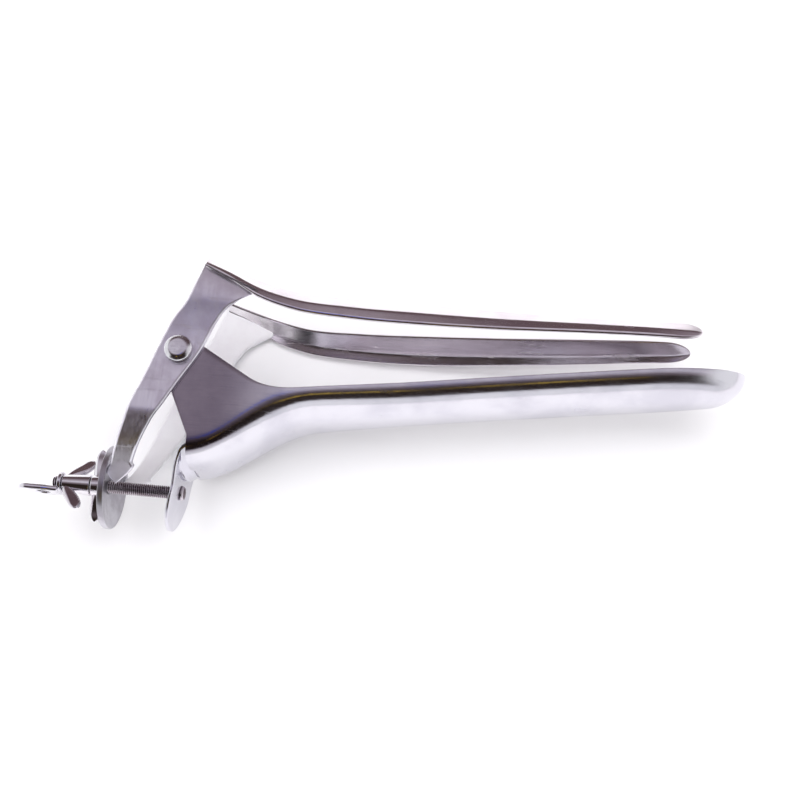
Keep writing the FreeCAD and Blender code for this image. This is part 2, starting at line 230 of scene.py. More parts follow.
def addTable(values):
    s = values["half"]
    mesh = bpy.data.meshes.new("tableTop")
    mesh.from_pydata([(-s, -s, 0), (s, -s, 0), (s, s, 0), (-s, s, 0)], [], [(0, 1, 2, 3)])
    top = bpy.data.objects.new("tableTop", mesh)
    scene.collection.objects.link(top)
    material = bpy.data.materials.new("whiteTable")
    material.use_nodes = True
    shader = material.node_tree.nodes["Principled BSDF"]
    shader.inputs["Base Color"].default_value = (*values["color"], 1)
    shader.inputs["Roughness"].default_value = values["roughness"]
    shader.inputs["Specular IOR Level"].default_value = 0.0
    mesh.materials.append(material)


addTable(table)
print("camera, lamps and table placed")

# polishing marks, shared by every steel: grain lines, cloudy smudges and a few scratches
polishLook = {
    "numbers": (("Grain Scale", 900.0), ("Smudge Scale", 60.0), ("Roughness Low", 0.15),
                ("Roughness High", 0.3), ("Scratches", 0.3)),
    "grainDetail": 3.0, "grainFrom": 0.3, "grainTo": 0.7,
    "smudgeDetail": 4.0, "smudgeRoughness": 0.6, "cloudFrom": 0.38, "cloudTo": 0.66,
    "cloudDull": 0.05,  # roughness added by a smudge
    "scratchTurn": (0.3, 0.2, 0.9), "scratchStretch": (1.0, 14.0, 3.0), "scratchScale": 46.0,
    "scratchDetail": 1.0, "scratchFrom": 0.685, "scratchTo": 0.705,
    "scratchDull": 0.25,  # roughness added by a scratch
}


# roughness follows the grain, with the smudges and the scratches added; height is grain less scratches
def buildPolishMarks(values):
    group = bpy.data.node_groups.new("polishMarks", "ShaderNodeTree")
    face = group.interface
    for name in ("Grain Vector", "Vector"):
        face.new_socket(name, in_out="INPUT", socket_type="NodeSocketVector")
    for name, value in values["numbers"]:
        face.new_socket(name, in_out="INPUT", socket_type="NodeSocketFloat").default_value = value
    for name in ("Clean Color", "Dull Color"):
        face.new_socket(name, in_out="INPUT", socket_type="NodeSocketColor")
    for name, kind in (("Color", "Color"), ("Roughness", "Float"), ("Height", "Float")):
        face.new_socket(name, in_out="OUTPUT", socket_type="NodeSocket" + kind)
    given = group.nodes.new("NodeGroupInput").outputs
    result = group.nodes.new("NodeGroupOutput").inputs
    grain = addNoise(group, given["Grain Vector"], given["Grain Scale"], values["grainDetail"])
    smudge = addNoise(group, given["Vector"], given["Smudge Scale"], values["smudgeDetail"])
    smudge.inputs["Roughness"].default_value = values["smudgeRoughness"]
    cloud = addRange(group, smudge.outputs["Fac"], values["cloudFrom"], values["cloudTo"]).outputs["Result"]
    turned = addMapping(group, given["Vector"],
                        {"Rotation": values["scratchTurn"], "Scale": values["scratchStretch"]})
    lines = addNoise(group, turned, values["scratchScale"], values["scratchDetail"])
    thin = addRange(group, lines.outputs["Fac"], values["scratchFrom"], values["scratchTo"])
    scratch = addMath(group, "MULTIPLY", thin.outputs["Result"], given["Scratches"])
    rough = addRange(group, grain.outputs["Fac"], values["grainFrom"], values["grainTo"], "LINEAR")
    link(group, given["Roughness Low"], rough.inputs["To Min"])
    link(group, given["Roughness High"], rough.inputs["To Max"])
    dulled = addMath(group, "MULTIPLY_ADD", cloud, values["cloudDull"], rough.outputs["Result"])
    worn = addMath(group, "MULTIPLY_ADD", scratch, values["scratchDull"], dulled)
    link(group, mixColor(group, cloud, given["Clean Color"], given["Dull Color"]), result["Color"])
    link(group, worn, result["Roughness"])
    link(group, addMath(group, "SUBTRACT", grain.outputs["Fac"], scratch), result["Height"])
    return group


polishMarks = buildPolishMarks(polishLook)
bumpDistance = 0.0003

# one finish per kind of piece; stretch scales the grain along X, Y and Z, so that a small number draws it
# out, and turn swings it about Z in degrees
finishes = {
    "lowerBladeSatin": {"clean": (0.72, 0.71, 0.76), "dull": (0.62, 0.61, 0.67), "low": 0.13, "high": 0.20,
                        "stretch": (0.05, 1.0, 1.0), "grain": 1500.0, "smudge": 45.0, "bump": 0.05,
                        "scratches": 0.25},
    "upperBladePolish": {"clean": (0.90, 0.86, 0.89), "dull": (0.80, 0.74, 0.78), "low": 0.14, "high": 0.22,
                         "stretch": (0.04, 1.0, 1.0), "grain": 1600.0, "smudge": 55.0, "bump": 0.05,
                         "scratches": 0.3},
    "armBrushed": {"clean": (0.95, 0.94, 1.0), "dull": (0.80, 0.76, 0.84), "low": 0.26, "high": 0.40,
                   "stretch": (1.0, 0.05, 1.0), "grain": 1300.0, "smudge": 70.0, "bump": 0.10,
                   "scratches": 0.4, "turn": 20.0},
    # painted light: a whiter, rougher, less metallic copy of the arm steel, used for the far arm only so
    # that it shows pale
    "farArmPaintedPale": {"clean": (0.98, 0.98, 1.0), "dull": (0.93, 0.92, 0.95), "low": 0.62, "high": 0.72,
                 "stretch": (1.0, 0.05, 1.0), "grain": 1300.0, "smudge": 70.0, "bump": 0.10,
                 "scratches": 0.3, "turn": 20.0, "metallic": 0.35},
    "rivetPolish": {"clean": (0.80, 0.80, 0.83), "dull": (0.66, 0.64, 0.68), "low": 0.10, "high": 0.2,
                    "stretch": (0.08, 1.0, 1.0), "grain": 1800.0, "smudge": 160.0, "bump": 0.05,
                    "scratches": 0.4},
    "screwThread": {"clean": (0.60, 0.56, 0.60), "dull": (0.40, 0.35, 0.38), "low": 0.2, "high": 0.35,
                    "stretch": (1.0, 1.0, 1.0), "grain": 1500.0, "smudge": 200.0, "bump": 0.05,
                    "scratches": 0.0},
    "nutChrome": {"clean": (0.84, 0.83, 0.86), "dull": (0.72, 0.68, 0.72), "low": 0.04, "high": 0.09,
                  "stretch": (1.0, 1.0, 1.0), "grain": 700.0, "smudge": 120.0, "bump": 0.02,
                  "scratches": 0.2},
    "tabPolish": {"clean": (0.82, 0.81, 0.85), "dull": (0.72, 0.70, 0.75), "low": 0.06, "high": 0.12,
                  "stretch": (0.1, 1.0, 1.0), "grain": 1200.0, "smudge": 110.0, "bump": 0.03,
                  "scratches": 0.3},
    # painted reflection: a dark steel for the seam bead, standing in for the dark line that the curved fold
    # reflects
    "seamDarkReflection": {"clean": (0.30, 0.28, 0.30), "dull": (0.16, 0.14, 0.15), "low": 0.3, "high": 0.45,
                   "stretch": (1.0, 1.0, 1.0), "grain": 900.0, "smudge": 300.0, "bump": 0.1,
                   "scratches": 0.0},
}


def objectPlace(tree):
    return addNode(tree, "TexCoord").outputs["Object"]


def marksOf(tree):
    return next(node for node in tree.nodes if node.type == "GROUP")


def makeSteel(name, values):
    material = bpy.data.materials.new(name)
    material.use_nodes = True
    tree = material.node_tree
    shader = tree.nodes["Principled BSDF"]
    shader.inputs["Metallic"].default_value = values.get("metallic", 1.0)
    place = objectPlace(tree)
    grainTurn = (0, 0, math.radians(values.get("turn", 0.0)))
    stretched = addMapping(tree, place, {"Rotation": grainTurn, "Scale": values["stretch"]})
    marks = tree.nodes.new("ShaderNodeGroup")
    marks.node_tree = polishMarks
    link(tree, place, marks.inputs["Vector"])
    link(tree, stretched, marks.inputs["Grain Vector"])
    for socket, key in (("Grain Scale", "grain"), ("Smudge Scale", "smudge"), ("Roughness Low", "low"),
                        ("Roughness High", "high"), ("Scratches", "scratches"), ("Clean Color", "clean"),
                        ("Dull Color", "dull")):
        feed(tree, marks.inputs[socket], values[key])
    link(tree, marks.outputs["Color"], shader.inputs["Base Color"])
    link(tree, marks.outputs["Roughness"], shader.inputs["Roughness"])
    bump = addNode(tree, "Bump")
    bump.inputs["Strength"].default_value = values["bump"]
    bump.inputs["Distance"].default_value = bumpDistance
    link(tree, marks.outputs["Height"], bump.inputs["Height"])
    link(tree, bump.outputs["Normal"], shader.inputs["Normal"])
    return material


steels = {name: makeSteel(name, values) for name, values in finishes.items()}

# painted shade: a dark colour multiplied into the ears' sides of the lower blade
earPaintedShade = {"color": (0.42, 0.37, 0.40), "from": 50.0, "to": 14.0, "height": 18.0, "fade": 3.0}


# painted shade: the ears' sides are painted darker than the trough, standing in for the shade under the arms
# as well as their duller brushing; a share that grows towards the root and the outer sides
def paintEarShade(material, values):
    tree = material.node_tree
    shader = tree.nodes["Principled BSDF"]
    parts = addNode(tree, "SeparateXYZ")
    link(tree, objectPlace(tree), parts.inputs[0])
    along = addRange(tree, parts.outputs["X"], values["from"] * mm, values["to"] * mm)
    offside = addMath(tree, "ABSOLUTE", addMath(tree, "SUBTRACT", parts.outputs["Z"], middleZ * mm))
    outside = addRange(tree, offside, values["height"] * mm, (values["height"] + values["fade"]) * mm)
    share = addMath(tree, "MULTIPLY", along.outputs["Result"], outside.outputs["Result"])
    color = mixColor(tree, share, marksOf(tree).outputs["Color"], values["color"], "MULTIPLY")
    link(tree, color, shader.inputs["Base Color"])


paintEarShade(steels["lowerBladeSatin"], earPaintedShade)

# turned rings of the disc: grain that follows the distance from the screw's axis
discFinish = {"clean": (0.58, 0.57, 0.61), "dull": (0.42, 0.40, 0.44), "low": 0.26, "high": 0.40,
              "stretch": (1.0, 1.0, 1.0), "grain": 900.0, "smudge": 90.0, "bump": 0.06, "scratches": 0.2}


def axisDistance(tree):
    centred = addMapping(tree, objectPlace(tree),
                         {"Location": (0, -screwY * mm, -middleZ * mm), "Scale": (0, 1, 1)})
    radius = addNode(tree, "VectorMath", operation="LENGTH")
    link(tree, centred, radius.inputs[0])
    return radius.outputs["Value"]


def makeRingedSteel(name, values):
    material = makeSteel(name, values)
    tree = material.node_tree
    rings = addNode(tree, "CombineXYZ")
    link(tree, axisDistance(tree), rings.inputs[0])
    link(tree, rings.outputs[0], marksOf(tree).inputs["Grain Vector"])
    return material


steels["discRinged"] = makeRingedSteel("discRinged", discFinish)

# painted shade deep in the thread's groove
grooveShade = {"from": 2.12, "to": 2.42, "color": (0.10, 0.07, 0.08)}


# painted shade: the thread is painted darker deep in each groove than on its crests, by the distance from
# the screw's axis
def paintGrooveShade(material, values):
    tree = material.node_tree
    shader = tree.nodes["Principled BSDF"]
    depth = addRange(tree, axisDistance(tree), values["from"] * mm, values["to"] * mm, "LINEAR")
    color = mixColor(tree, depth.outputs["Result"], values["color"], marksOf(tree).outputs["Color"])
    link(tree, color, shader.inputs["Base Color"])


paintGrooveShade(steels["screwThread"], grooveShade)
print("steels mixed:", len(steels))


# a smooth curve through given values: cubic pieces whose slopes are the mean slopes of their neighbours
def smoothCurve(at, places, values):
    places = np.asarray(places, float)
    values = np.asarray(values, float)
    slopes = np.gradient(values, places)
    i = np.clip(np.searchsorted(places, at) - 1, 0, len(places) - 2)
    h = places[i + 1] - places[i]
    t = (at - places[i]) / h
    return ((2 * t**3 - 3 * t**2 + 1) * values[i] + (t**3 - 2 * t**2 + t) * h * slopes[i]
            + (3 * t**2 - 2 * t**3) * values[i + 1] + (t**3 - t**2) * h * slopes[i + 1])


# 0 to 1 over t from 0 to 1, level at both ends: three t squared less two t cubed
def ease(t):
    t = np.clip(t, 0.0, 1.0)
    return t * t * (3 - 2 * t)


# quads of a grid of points (rows, columns), its columns closed to a ring, and flat caps at both ends
def gridFaces(rows, columns):
    a = np.arange(rows - 1)[:, None] * columns
    j = np.arange(columns)[None, :]
    k = (j + 1) % columns
    quads = np.stack([a + j, a + k, a + columns + k, a + columns + j], axis=-1).reshape(-1, 4).tolist()
    firstCap = list(range(columns))[::-1]
    lastCap = list(range((rows - 1) * columns, rows * columns))
    return quads + [firstCap, lastCap]


# shells, each a grid of points in millimetres over the middle plane, joined in one mesh at its real
# place; a shell whose faces look inwards is turned inside out
def buildPiece(name, shells, material, body, node=None, sharp=40.0):
    points = []
    faces = []
    start = 0
    for grid in shells:
        rows, columns = grid.shape[:2]
        flat = grid.reshape(-1, 3)
        new = gridFaces(rows, columns)
        ring = flat[np.array(new[:-2])]
        centre = flat.mean(axis=0)
        normal = np.cross(ring[:, 1] - ring[:, 0], ring[:, 3] - ring[:, 0])
        outward = np.einsum("ij,ij->", ring.mean(axis=1) - centre, normal)
        if outward < 0:
            new = [face[::-1] for face in new]
        faces.extend([[i + start for i in face] for face in new])
        points.append(flat)
        start += len(flat)
    points = (np.concatenate(points) + (0, 0, middleZ)) * mm
    mesh = bpy.data.meshes.new(name)
    mesh.from_pydata(points.tolist(), [], faces)
    mesh.polygons.foreach_set("use_smooth", np.ones(len(mesh.polygons), bool))
    mesh.set_sharp_from_angle(angle=math.radians(sharp))
    mesh.validate()
    mesh.materials.append(material)
    piece = bpy.data.objects.new(name, mesh)
    scene.collection.objects.link(piece)
    if node:
        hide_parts(node)
    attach(piece, body)


# the other side of the middle plane
def mirrorShell(grid):
    return grid * (1, 1, -1)


# closed outline of a strip's section, with half round edges: places across it from -1 to 1, how far
# each is drawn in from the edge, in edge radii, and its side, from 1 above to -1 below
def stripOutline(edgeSteps=6, faceSteps=22):
    turn = np.linspace(math.pi / 2, -math.pi / 2, edgeSteps)
    face = np.cos(np.linspace(math.pi, 0, faceSteps))
    level = np.ones(faceSteps)
    side = np.ones(edgeSteps)
    across = np.concatenate([face, side, face[::-1], -side])
    inset = np.concatenate([level, 1 - np.cos(turn), level, 1 - np.cos(turn)])
    over = np.concatenate([level, np.sin(turn), -level, -np.sin(turn)])
    return across, inset, over


# height of a crown over t from -1 to 1: two slopes that meet in a rounded crest at the given place
def crestCurve(t, crest, soft=0.16):
    up = (1 + t) / (1 + crest)
    down = (1 - t) / (1 - crest)
    return (up + down - np.sqrt((up - down)**2 + soft**2)) / 2


# a strip carried along a path: at each step a centre, half of its width as a vector, its upward
# normal, its thickness and the height of its crown, whose crest lies at the given share of the width
def stripShell(centre, half, up, thickness, crown, crest=0.0, widestEdge=0.95):
    across, inset, over = stripOutline()
    width = np.linalg.norm(half, axis=1)
    unit = half / width[:, None]
    edge = np.minimum(thickness / 2, widestEdge * width)
    t = across[None, :] * (1 - inset[None, :] * (edge / width)[:, None])
    hump = crown[:, None] * crestCurve(t, crest)
    rise = hump + over[None, :] * (thickness / 2)[:, None]
    return (centre[:, None, :] + unit[:, None, :] * (t * width[:, None])[:, :, None]
            + up[:, None, :] * rise[:, :, None])


# corners of a profile rounded off: each corner becomes a small parabola between points cut off before it
def roundProfile(corners, radius, steps=5, longestCut=0.45):
    corners = np.asarray(corners, float)
    t = np.linspace(0, 1, steps)[:, None]
    out = [corners[:1]]
    for before, corner, after in zip(corners[:-2], corners[1:-1], corners[2:]):
        inward = np.linalg.norm(corner - before)
        outward = np.linalg.norm(after - corner)
        a = corner + (before - corner) * min(radius, longestCut * inward) / inward
        b = corner + (after - corner) * min(radius, longestCut * outward) / outward
        out.append((1 - t)**2 * a + 2 * t * (1 - t) * corner + t**2 * b)
    out.append(corners[-1:])
    return np.concatenate(out)


axisRadius = 0.02  # a turned profile ends this close to its axis


# a profile of (x, radius) carried round the screw's axis
def turnedShell(profile, segments=96):
    angle = np.linspace(0, 2 * math.pi, segments, endpoint=False)
    x = np.repeat(profile[:, :1], segments, axis=1)
    y = screwY + profile[:, 1:] * np.cos(angle)
    z = profile[:, 1:] * np.sin(angle)
    return np.stack([x, y, z], axis=-1)


# upper blades: a strip whose top edge curls in towards the middle plane
upperBlade = {
    "rootX": 6.0, "tipX": 197.0, "thickness": 1.5,
    "share": (0.0, 0.05, 0.11, 0.18, 0.30, 0.45, 0.60, 0.78, 0.92, 1.0),
    "topY": (38.2, 34.9, 31.2, 28.3, 27.6, 28.3, 29.1, 30.5, 31.7, 32.2),
    "lowY": (33.92, 29.77, 23.51, 19.63, 17.8, 18.0, 19.63, 22.39, 24.12, 24.5),
    "topZ": (23.0, 22.0, 21.0, 20.6, 19.4, 17.6, 15.0, 12.0, 10.8, 11.4),
    "lowZ": (26.5, 26.5, 26.4, 26.1, 25.6, 24.6, 22.2, 19.3, 16.3, 14.6),
    "crown": (0.3, 0.7, 1.0, 1.2, 1.5, 1.5, 1.4, 1.3, 1.1, 0.8),
    "crest": 0.3, "tipY": 28.2, "tipLength": 9.5,
    "rows": 150, "bunch": 0.97,  # steps are closer together at the root and the tip
    "tipClose": 0.02, "tipThick": 0.35,  # shares of width and thickness that the tip ends with
}


# edges, height and crown follow smooth curves along the blade; the strip hangs below its outer face
def bladeShell(values):
    s = (0.5 - 0.5 * np.cos(np.linspace(0, math.pi, values["rows"])))**values["bunch"]
    x = values["rootX"] + s * (values["tipX"] - values["rootX"])
    top, low, topZ, lowZ, crown = (smoothCurve(s, values["share"], values[key])
                                   for key in ("topY", "lowY", "topZ", "lowZ", "crown"))
    # the tip closes as a quarter ellipse from both edges
    near = np.clip((x - (values["tipX"] - values["tipLength"])) / values["tipLength"], 0, 1)
    close = np.sqrt(np.maximum(1 - near**2, values["tipClose"]**2))
    middleY = (top + low) / 2
    middleY = middleY + (values["tipY"] - middleY) * near**2
    middle = np.stack([x, middleY, (topZ + lowZ) / 2], axis=1)
    half = np.stack([0 * x, (low - top) / 2, (lowZ - topZ) / 2], axis=1) * close[:, None]
    up = np.cross(half, (-1.0, 0, 0))
    up = up / np.linalg.norm(up, axis=1)[:, None]
    up = up * np.sign(up[:, 2:3])
    thickness = values["thickness"] * (values["tipThick"] + (1 - values["tipThick"]) * close)
    centre = middle - up * values["thickness"] / 2
    return stripShell(centre, half, up, thickness, crown * close, values["crest"])


# arms: flat strip, wider at the pivot and at the blade, bent in at the foot
armStrip = {
    "thickness": 2.2, "rows": 130,
    "along": (-0.985, -0.955, -0.84, -0.70, -0.56, -0.41, -0.25, 0.01, 0.234, 0.42, 0.60),
    "left": ((-20.9, -50.4), (-22.45, -48.5), (-21.3, -43.2), (-19.2, -35.8), (-17.3, -28.7), (-15.3, -21.0),
             (-12.4, -12.8), (-8.5, 0.5), (-4.3, 11.8), (0.2, 19.6), (5.5, 34.1)),
    "right": ((-18.6, -50.6), (-14.6, -47.0), (-13.0, -43.0), (-10.2, -35.8), (-7.0, -28.7), (-2.9, -21.0),
              (1.2, -12.8), (8.2, 0.5), (12.7, 12.0), (17.2, 18.7), (26.2, 24.2)),
    "shoulder": 1.6, "shoulderShare": 0.11, "endBow": 0.45,  # the end bends and bows down to the seam
    "footLength": 0.035, "footClose": 0.02,  # the foot's rounded end, along the arm and squared width
    "lookAhead": 0.5,  # step that the slope of the bend is taken over
    "bendY": (-51.2, -48.7, -42.8, -36.0, -29.0, -23.7, -22.0, 9.1, 14.9, 21.5, 29.3, 38.0),
    "bendZ": (9.3, 11.1, 15.6, 20.1, 22.7, 24.0, 24.0, 24.0, 24.7, 25.8, 26.5, 26.8),
}


# an edge of the arm, as x and y over the place along it
def armEdge(along, values, side):
    columns = np.array(values[side]).T
    return np.stack([smoothCurve(along, values["along"], column) for column in columns], axis=1)


# the strip lies between its left and right edges and its height follows the bend over y
def armShell(values):
    along = np.linspace(values["along"][0], values["along"][-1], values["rows"])
    left = armEdge(along, values, "left")
    right = armEdge(along, values, "right")
    share = (along - along[0]) / (along[-1] - along[0])
    across, inset, over = stripOutline()
    width = np.linalg.norm(right - left, axis=1)
    # the foot's end is rounded off
    near = (1 - (along - along[0]) / values["footLength"]).clip(0)
    close = np.sqrt(np.clip(1 - near**2, values["footClose"], 1))
    edge = values["thickness"] / width
    t = across[None, :] * (1 - inset[None, :] * edge[:, None]) * close[:, None]
    plan = (left + right)[:, None, :] / 2 + (right - left)[:, None, :] / 2 * t[:, :, None]
    # the end follows the blade's edge and bends down to it
    end = np.clip(1 - (1 - share) / values["shoulderShare"], 0, 1)[:, None]
    plan[..., 1] += values["endBow"] * end * (1 - t**2)
    outer = smoothCurve(plan[..., 1], values["bendY"], values["bendZ"]) - values["shoulder"] * end**2
    ahead = values["lookAhead"]
    lean = np.arctan2(smoothCurve(plan[..., 1] + ahead, values["bendY"], values["bendZ"]) - outer, ahead)
    depth = values["thickness"] * (over[None, :] - 1) / 2
    # the strip's thickness is measured square to its bend
    y = plan[..., 1] - depth * np.sin(lean)
    z = outer + depth * np.cos(lean)
    return np.stack([plan[..., 0], y, z], axis=-1)


# seam between blade and arm: a thin bead along it, whose dark colour is a painted dark reflection of the
# curved fold there
seamBead = {"radius": 0.42, "flat": 0.55, "taper": 0.7, "rows": 40, "columns": 10,
            "places": (0.0, 0.35, 0.7, 1.0),
            "x": (5.7, 13.0, 20.5, 27.2), "y": (33.95, 30.6, 27.6, 25.2), "z": (26.55, 26.5, 26.35, 26.2)}


# a flattened tube along the seam, thinner at both ends
def beadShell(values):
    s = np.linspace(0, 1, values["rows"])
    path = np.stack([smoothCurve(s, values["places"], values[key]) for key in ("x", "y", "z")], axis=1)
    angle = np.linspace(0, 2 * math.pi, values["columns"], endpoint=False)
    way = np.gradient(path, axis=0)
    way = way / np.linalg.norm(way, axis=1)[:, None]
    side = np.cross(way, (0, 0, 1.0))
    side = side / np.linalg.norm(side, axis=1)[:, None]
    up = np.cross(side, way)
    radius = (values["radius"] * (1 - values["taper"] * np.abs(2 * s - 1)**6))[:, None]
    return (path[:, None, :] + side[:, None, :] * (radius * np.cos(angle))[:, :, None]
            + up[:, None, :] * (radius * np.sin(angle))[:, :, None] * values["flat"])


sides = [("right", 1), ("left", -1)]
for side, sign in sides:
    turned = (lambda grid: grid) if sign > 0 else mirrorShell
    upper = side + "_upper"
    buildPiece(side + "BladeStrip", [turned(bladeShell(upperBlade))], steels["upperBladePolish"], upper,
               side + "_blade")
    # painted light: the far arm takes a lit copy of the arm steel, which makes it pale
    finish = steels["armBrushed"] if sign > 0 else steels["farArmPaintedPale"]
    buildPiece(side + "ArmStrip", [turned(armShell(armStrip))], finish, upper, side + "_arm")
    # painted reflection: the bead takes the dark seam steel
    buildPiece(side + "SeamBead", [turned(beadShell(seamBead))], steels["seamDarkReflection"], upper)
print("upper blades, arms and seams made")

# lower blade: one sheet, a trough whose walls rise at the root to two ears round the pivots
trough = {
    "tipX": 216.0, "wall": 1.6, "rimRoot": -18.0, "rimTip": 15.0, "rimBow": 1.05,
    "earHalf": 21.7, "half": 18.0, "earFront": 34.5, "narrowLength": 1.7, "noseLength": 40.0,
    "rootDepth": 25.5, "depth": 10.7, "rootLength": 52.0, "footX": 7.4, "toeLength": 13.0,
    "wallShare": 0.53, "wallFrom": 14.0, "wallTo": 44.0,  # part of the depth that is upright wall
    "wallLeast": 0.04,
    "squareRoot": 3.2, "squareFront": 2.15,  # how square the section's corner is at the root and in front
    "squareLength": 50.0,
    "earRadius": 7.6, "earBack": (-0.9, -15.5), "earTop": (6.71, 3.57), "blendFrom": 27.0, "blendTo": 46.0,
    "footDrop": 15.0, "tipGap": 0.35, "endStretch": 1.004, "leastHalf": 0.4, "leastDepth": 0.8,
    "arcSteps": 26, "lineSteps": 14, "rimSteps": 110, "wallSteps": 6, "underSteps": 57, "edgeSteps": 7,
}


# the rim runs straight from root to tip with a shallow parabola on top
def rimHeight(x, values):
    s = x / values["tipX"]
    straight = values["rimRoot"] + (values["rimTip"] - values["rimRoot"]) * s
    return straight + 4 * values["rimBow"] * s * (1 - s)


# share of the width or depth that is left near the tip: a quarter ellipse of the given length
def closeEnd(x, length, values):
    t = np.clip(x - (values["tipX"] - length), 0, None) / (values["endStretch"] * length)
    return np.sqrt(np.clip(1 - t**2, 0.0, 1.0))


def troughHalf(x, values):
    narrow = ease((x - values["earFront"]) / (values["narrowLength"] * values["earFront"]))
    half = values["earHalf"] + (values["half"] - values["earHalf"]) * narrow
    return half * closeEnd(x, values["noseLength"], values)


def troughDepth(x, values):
    rise = ease((x - values["footX"]) / (values["rootLength"] - values["footX"]))
    depth = values["rootDepth"] + (values["depth"] - values["rootDepth"]) * rise
    return depth * closeEnd(x, values["toeLength"], values)


# the edge of one wall from the root's foot up the ear's back, round the pivot, down its front and along
# the rim to the tip, and below each of its points the place where the wall starts down
def wallEdge(values):
    foot = np.array([values["footX"], rimHeight(values["footX"], values) - values["footDrop"]])
    top = np.array(values["earTop"])
    back = np.array(values["earBack"])
    slant = math.atan2(top[1], top[0])
    turn = np.linspace(slant + math.pi, slant, values["arcSteps"])
    arcPart = values["earRadius"] * np.stack([np.cos(turn), np.sin(turn)], axis=1)
    line = np.linspace(0, 1, values["lineSteps"])[:, None]
    climb = np.concatenate([foot + (back - foot) * line[:-1], back + (arcPart[0] - back) * line[:-1]])
    slope = (rimHeight(values["earFront"], values) - top[1]) / (values["earFront"] - top[0])
    blendFrom = np.array([values["blendFrom"], top[1] + slope * (values["blendFrom"] - top[0])])
    fall = top + (blendFrom - top) * line[1:-1]
    corner = np.array([values["earFront"], rimHeight(values["earFront"], values)])
    blendTo = np.array([values["blendTo"], rimHeight(values["blendTo"], values)])
    bend = (1 - line)**2 * blendFrom + 2 * line * (1 - line) * corner + line**2 * blendTo
    run = np.sin(np.linspace(0, math.pi / 2, values["rimSteps"]))[1:]
    x = values["blendTo"] + (values["tipX"] - values["tipGap"] - values["blendTo"]) * run
    rim = np.stack([x, rimHeight(x, values)], axis=1)
    edge = np.concatenate([climb, arcPart, fall, bend, rim])
    # below the ear the feet of the rows are spread evenly along the fold
    count = len(climb) + len(arcPart) + len(fall)
    below = edge[:, 0].copy()
    below[:count] = np.linspace(values["footX"], values["blendFrom"], count, endpoint=False)
    return edge, below


# one skin: down the near wall, along a superellipse under the trough and up the far wall
def troughSkin(inward, values):
    edge, x = wallEdge(values)
    half = np.maximum(troughHalf(x, values) - inward, values["leastHalf"])
    depth = np.maximum(troughDepth(x, values) - inward, values["leastDepth"])
    lower = ease((x - values["wallFrom"]) / (values["wallTo"] - values["wallFrom"]))
    upright = np.maximum(values["wallShare"] * (1 - lower), values["wallLeast"])
    fold = rimHeight(x, values) - upright * depth
    bottom = rimHeight(x, values) - depth
    rounder = ease((x - values["footX"]) / values["squareLength"])
    square = values["squareRoot"] + (values["squareFront"] - values["squareRoot"]) * rounder
    v = np.linspace(0, 1, values["wallSteps"], endpoint=False)
    wallX = edge[:, :1] + (x[:, None] - edge[:, :1]) * v
    wallY = edge[:, 1:] + (fold[:, None] - edge[:, 1:]) * v
    wallZ = np.repeat(half[:, None], len(v), axis=1)
    angle = np.linspace(0, math.pi, values["underSteps"])[None, :]
    c = np.cos(angle)
    power = 2 / square[:, None]
    underZ = half[:, None] * np.sign(c) * np.abs(c)**power
    underY = fold[:, None] - (fold - bottom)[:, None] * np.abs(np.sin(angle))**power
    underX = np.repeat(x[:, None], angle.shape[1], axis=1)
    return np.concatenate([
        np.stack([wallX, wallY, wallZ], axis=-1),
        np.stack([underX, underY, underZ], axis=-1),
        np.stack([wallX, wallY, -wallZ], axis=-1)[:, ::-1],
    ], axis=1)


# an outer and an inner skin, joined over the edge by a flattened half round
def troughShell(values):
    outer = troughSkin(0.0, values)
    inner = troughSkin(values["wall"], values)[:, ::-1]
    inner[..., 0] = np.minimum(inner[..., 0], values["tipX"] - values["wall"])
    turn = np.linspace(0, math.pi, values["edgeSteps"])[None, 1:-1, None]
    edge = wallEdge(values)[0]
    way = np.gradient(edge, axis=0)
    normal = np.stack([-way[:, 1], way[:, 0], 0 * way[:, 0]], axis=1)
    normal = normal / np.linalg.norm(normal, axis=1)[:, None]
    arcs = []
    for a, b in ((outer[:, -1], inner[:, 0]), (inner[:, -1], outer[:, 0])):
        bulge = np.minimum(np.linalg.norm(a - b, axis=1), values["wall"])[:, None, None] / 2
        arcs.append((a + b)[:, None, :] / 2 + (a - b)[:, None, :] / 2 * np.cos(turn)
                    + normal[:, None, :] * bulge * 0.5 * np.sin(turn))
    return np.concatenate([outer, arcs[0], inner, arcs[1]], axis=1)


# flange: it ends below the screw in a half circle and bows down under the trough's round bottom
flangeStrip = {
    "thickness": 1.3, "rows": 70, "endRadius": 14.0, "leastSquare": 0.3,
    "bow": 8.6, "bowFrom": -45.0, "bowLength": 10.0,
    "y": (-64.85, -61.0, -58.8, -54.0, -50.1, -46.0, -42.1, -38.6, -35.6, -33.6),
    "x": (1.15, 1.5, 1.8, 2.5, 3.0, 3.1, 3.3, 3.9, 5.2, 8.2),
    "half": (0.6, 9.2, 11.3, 13.55, 14.0, 14.75, 15.6, 16.5, 17.8, 19.2),
}


